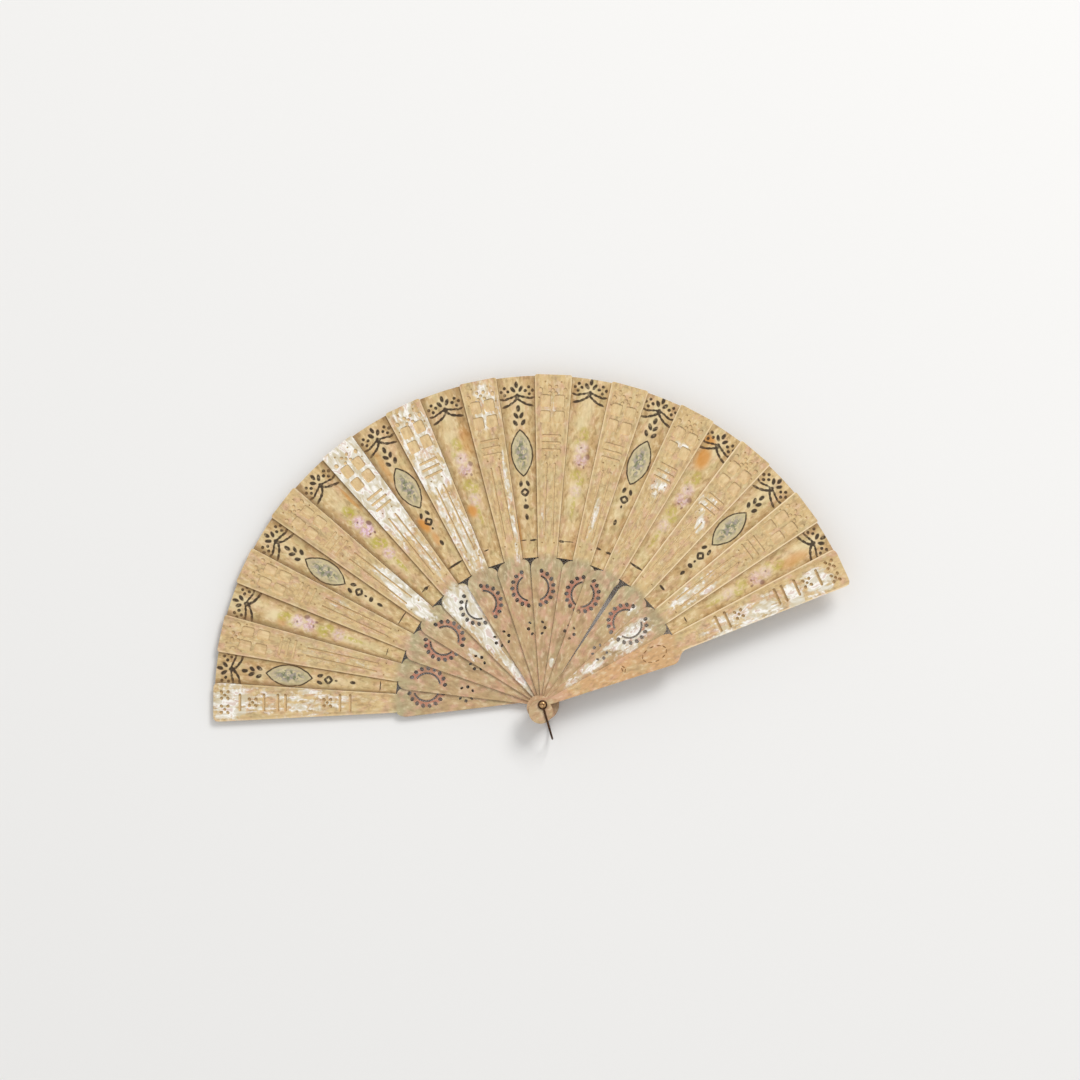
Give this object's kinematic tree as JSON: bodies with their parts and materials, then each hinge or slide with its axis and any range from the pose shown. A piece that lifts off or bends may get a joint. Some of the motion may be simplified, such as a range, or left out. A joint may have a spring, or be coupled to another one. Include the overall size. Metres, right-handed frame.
{
  "type": "folding fan",
  "caption": "Folding hand fan: pierced mother-of-pearl sticks and guards on a rivet with a wire bail, and a pleated silk leaf glued behind the ribs, fully open.",
  "frame": {"origin": "on the rivet's axis, at the flat rear face of the rivet's rear head", "axes": "+Z out of the front of the fan along the rivet, +Y from the rivet along the middle of the open leaf, +X towards the front guard at the right"},
  "size_m": [0.5122, 0.2891, 0.0257],
  "materials": {
    "pearl": "polished",
    "silk": "matte",
    "rivet_metal": "polished",
    "bail_metal": "satin"
  },
  "bodies": {
    "root": {"rear_guard": "pearl", "rear_guard_silk": "silk", "rivet_pin": "rivet_metal", "rivet_rear_head": "rivet_metal", "rivet_front_head": "rivet_metal"},
    "stick_1": {"stick_1": "pearl", "stick_1_silk": "silk"},
    "stick_2": {"stick_2": "pearl", "stick_2_silk": "silk"},
    "stick_3": {"stick_3": "pearl", "stick_3_silk": "silk"},
    "stick_4": {"stick_4": "pearl", "stick_4_silk": "silk"},
    "stick_5": {"stick_5": "pearl", "stick_5_silk": "silk"},
    "stick_6": {"stick_6": "pearl", "stick_6_silk": "silk"},
    "stick_7": {"stick_7": "pearl", "stick_7_silk": "silk"},
    "stick_8": {"stick_8": "pearl", "stick_8_silk": "silk"},
    "stick_9": {"stick_9": "pearl", "stick_9_silk": "silk"},
    "stick_10": {"stick_10": "pearl", "stick_10_silk": "silk"},
    "stick_11": {"stick_11": "pearl", "stick_11_silk": "silk"},
    "front_guard": {"front_guard": "pearl", "front_guard_silk": "silk"},
    "pleat_1": {"pleat_1": "silk"},
    "pleat_2": {"pleat_2": "silk"},
    "pleat_3": {"pleat_3": "silk"},
    "pleat_4": {"pleat_4": "silk"},
    "pleat_5": {"pleat_5": "silk"},
    "pleat_6": {"pleat_6": "silk"},
    "pleat_7": {"pleat_7": "silk"},
    "pleat_8": {"pleat_8": "silk"},
    "pleat_9": {"pleat_9": "silk"},
    "pleat_10": {"pleat_10": "silk"},
    "pleat_11": {"pleat_11": "silk"},
    "pleat_12": {"pleat_12": "silk"},
    "bail": {"suspension_bail": "bail_metal"}
  },
  "joints": [
    {"name": "front_guard_fold", "type": "hinge", "parent": "root", "child": "front_guard", "pos_m": [0, 0, 0], "axis": [0, 0, 1], "range_deg": [0, 154.9]},
    {"name": "stick_1_fold", "type": "hinge", "parent": "root", "child": "stick_1", "pos_m": [0, 0, 0], "axis": [0, 0, 1], "range_deg": [0, 12.15]},
    {"name": "stick_2_fold", "type": "hinge", "parent": "root", "child": "stick_2", "pos_m": [0, 0, 0], "axis": [0, 0, 1], "range_deg": [0, 24.65]},
    {"name": "stick_3_fold", "type": "hinge", "parent": "root", "child": "stick_3", "pos_m": [0, 0, 0], "axis": [0, 0, 1], "range_deg": [0, 37.55]},
    {"name": "stick_4_fold", "type": "hinge", "parent": "root", "child": "stick_4", "pos_m": [0, 0, 0], "axis": [0, 0, 1], "range_deg": [0, 51]},
    {"name": "stick_5_fold", "type": "hinge", "parent": "root", "child": "stick_5", "pos_m": [0, 0, 0], "axis": [0, 0, 1], "range_deg": [0, 64.45]},
    {"name": "stick_6_fold", "type": "hinge", "parent": "root", "child": "stick_6", "pos_m": [0, 0, 0], "axis": [0, 0, 1], "range_deg": [0, 78.3]},
    {"name": "stick_7_fold", "type": "hinge", "parent": "root", "child": "stick_7", "pos_m": [0, 0, 0], "axis": [0, 0, 1], "range_deg": [0, 91.6]},
    {"name": "stick_8_fold", "type": "hinge", "parent": "root", "child": "stick_8", "pos_m": [0, 0, 0], "axis": [0, 0, 1], "range_deg": [0, 105.1]},
    {"name": "stick_9_fold", "type": "hinge", "parent": "root", "child": "stick_9", "pos_m": [0, 0, 0], "axis": [0, 0, 1], "range_deg": [0, 117.65]},
    {"name": "stick_10_fold", "type": "hinge", "parent": "root", "child": "stick_10", "pos_m": [0, 0, 0], "axis": [0, 0, 1], "range_deg": [0, 129.9]},
    {"name": "stick_11_fold", "type": "hinge", "parent": "root", "child": "stick_11", "pos_m": [0, 0, 0], "axis": [0, 0, 1], "range_deg": [0, 142.85]},
    {"name": "pleat_1_fold", "type": "hinge", "parent": "root", "child": "pleat_1", "pos_m": [0, 0, 0], "axis": [0, 0, 1], "range_deg": [0, 6.08]},
    {"name": "pleat_2_fold", "type": "hinge", "parent": "root", "child": "pleat_2", "pos_m": [0, 0, 0], "axis": [0, 0, 1], "range_deg": [0, 18.4]},
    {"name": "pleat_3_fold", "type": "hinge", "parent": "root", "child": "pleat_3", "pos_m": [0, 0, 0], "axis": [0, 0, 1], "range_deg": [0, 31.1]},
    {"name": "pleat_4_fold", "type": "hinge", "parent": "root", "child": "pleat_4", "pos_m": [0, 0, 0], "axis": [0, 0, 1], "range_deg": [0, 44.27]},
    {"name": "pleat_5_fold", "type": "hinge", "parent": "root", "child": "pleat_5", "pos_m": [0, 0, 0], "axis": [0, 0, 1], "range_deg": [0, 57.73]},
    {"name": "pleat_6_fold", "type": "hinge", "parent": "root", "child": "pleat_6", "pos_m": [0, 0, 0], "axis": [0, 0, 1], "range_deg": [0, 71.38]},
    {"name": "pleat_7_fold", "type": "hinge", "parent": "root", "child": "pleat_7", "pos_m": [0, 0, 0], "axis": [0, 0, 1], "range_deg": [0, 84.95]},
    {"name": "pleat_8_fold", "type": "hinge", "parent": "root", "child": "pleat_8", "pos_m": [0, 0, 0], "axis": [0, 0, 1], "range_deg": [0, 98.35]},
    {"name": "pleat_9_fold", "type": "hinge", "parent": "root", "child": "pleat_9", "pos_m": [0, 0, 0], "axis": [0, 0, 1], "range_deg": [0, 111.38]},
    {"name": "pleat_10_fold", "type": "hinge", "parent": "root", "child": "pleat_10", "pos_m": [0, 0, 0], "axis": [0, 0, 1], "range_deg": [0, 123.78]},
    {"name": "pleat_11_fold", "type": "hinge", "parent": "root", "child": "pleat_11", "pos_m": [0, 0, 0], "axis": [0, 0, 1], "range_deg": [0, 136.38]},
    {"name": "pleat_12_fold", "type": "hinge", "parent": "root", "child": "pleat_12", "pos_m": [0, 0, 0], "axis": [0, 0, 1], "range_deg": [0, 148.88]},
    {"name": "bail_swing", "type": "hinge", "parent": "root", "child": "bail", "pos_m": [0, 0, 0], "axis": [0, 0, 1], "range_deg": [-88, 81]}
  ],
  "couplings": [
    {"joint": "stick_1_fold", "follows": "front_guard_fold", "ratio": 0.078437},
    {"joint": "stick_2_fold", "follows": "front_guard_fold", "ratio": 0.15913},
    {"joint": "stick_3_fold", "follows": "front_guard_fold", "ratio": 0.24241},
    {"joint": "stick_4_fold", "follows": "front_guard_fold", "ratio": 0.32924},
    {"joint": "stick_5_fold", "follows": "front_guard_fold", "ratio": 0.41607},
    {"joint": "stick_6_fold", "follows": "front_guard_fold", "ratio": 0.50549},
    {"joint": "stick_7_fold", "follows": "front_guard_fold", "ratio": 0.59135},
    {"joint": "stick_8_fold", "follows": "front_guard_fold", "ratio": 0.6785},
    {"joint": "stick_9_fold", "follows": "front_guard_fold", "ratio": 0.75952},
    {"joint": "stick_10_fold", "follows": "front_guard_fold", "ratio": 0.83861},
    {"joint": "stick_11_fold", "follows": "front_guard_fold", "ratio": 0.92221},
    {"joint": "pleat_1_fold", "follows": "front_guard_fold", "ratio": 0.039218},
    {"joint": "pleat_2_fold", "follows": "front_guard_fold", "ratio": 0.11879},
    {"joint": "pleat_3_fold", "follows": "front_guard_fold", "ratio": 0.20077},
    {"joint": "pleat_4_fold", "follows": "front_guard_fold", "ratio": 0.28583},
    {"joint": "pleat_5_fold", "follows": "front_guard_fold", "ratio": 0.37266},
    {"joint": "pleat_6_fold", "follows": "front_guard_fold", "ratio": 0.46078},
    {"joint": "pleat_7_fold", "follows": "front_guard_fold", "ratio": 0.54842},
    {"joint": "pleat_8_fold", "follows": "front_guard_fold", "ratio": 0.63492},
    {"joint": "pleat_9_fold", "follows": "front_guard_fold", "ratio": 0.71901},
    {"joint": "pleat_10_fold", "follows": "front_guard_fold", "ratio": 0.79906},
    {"joint": "pleat_11_fold", "follows": "front_guard_fold", "ratio": 0.88041},
    {"joint": "pleat_12_fold", "follows": "front_guard_fold", "ratio": 0.9611}
  ]
}
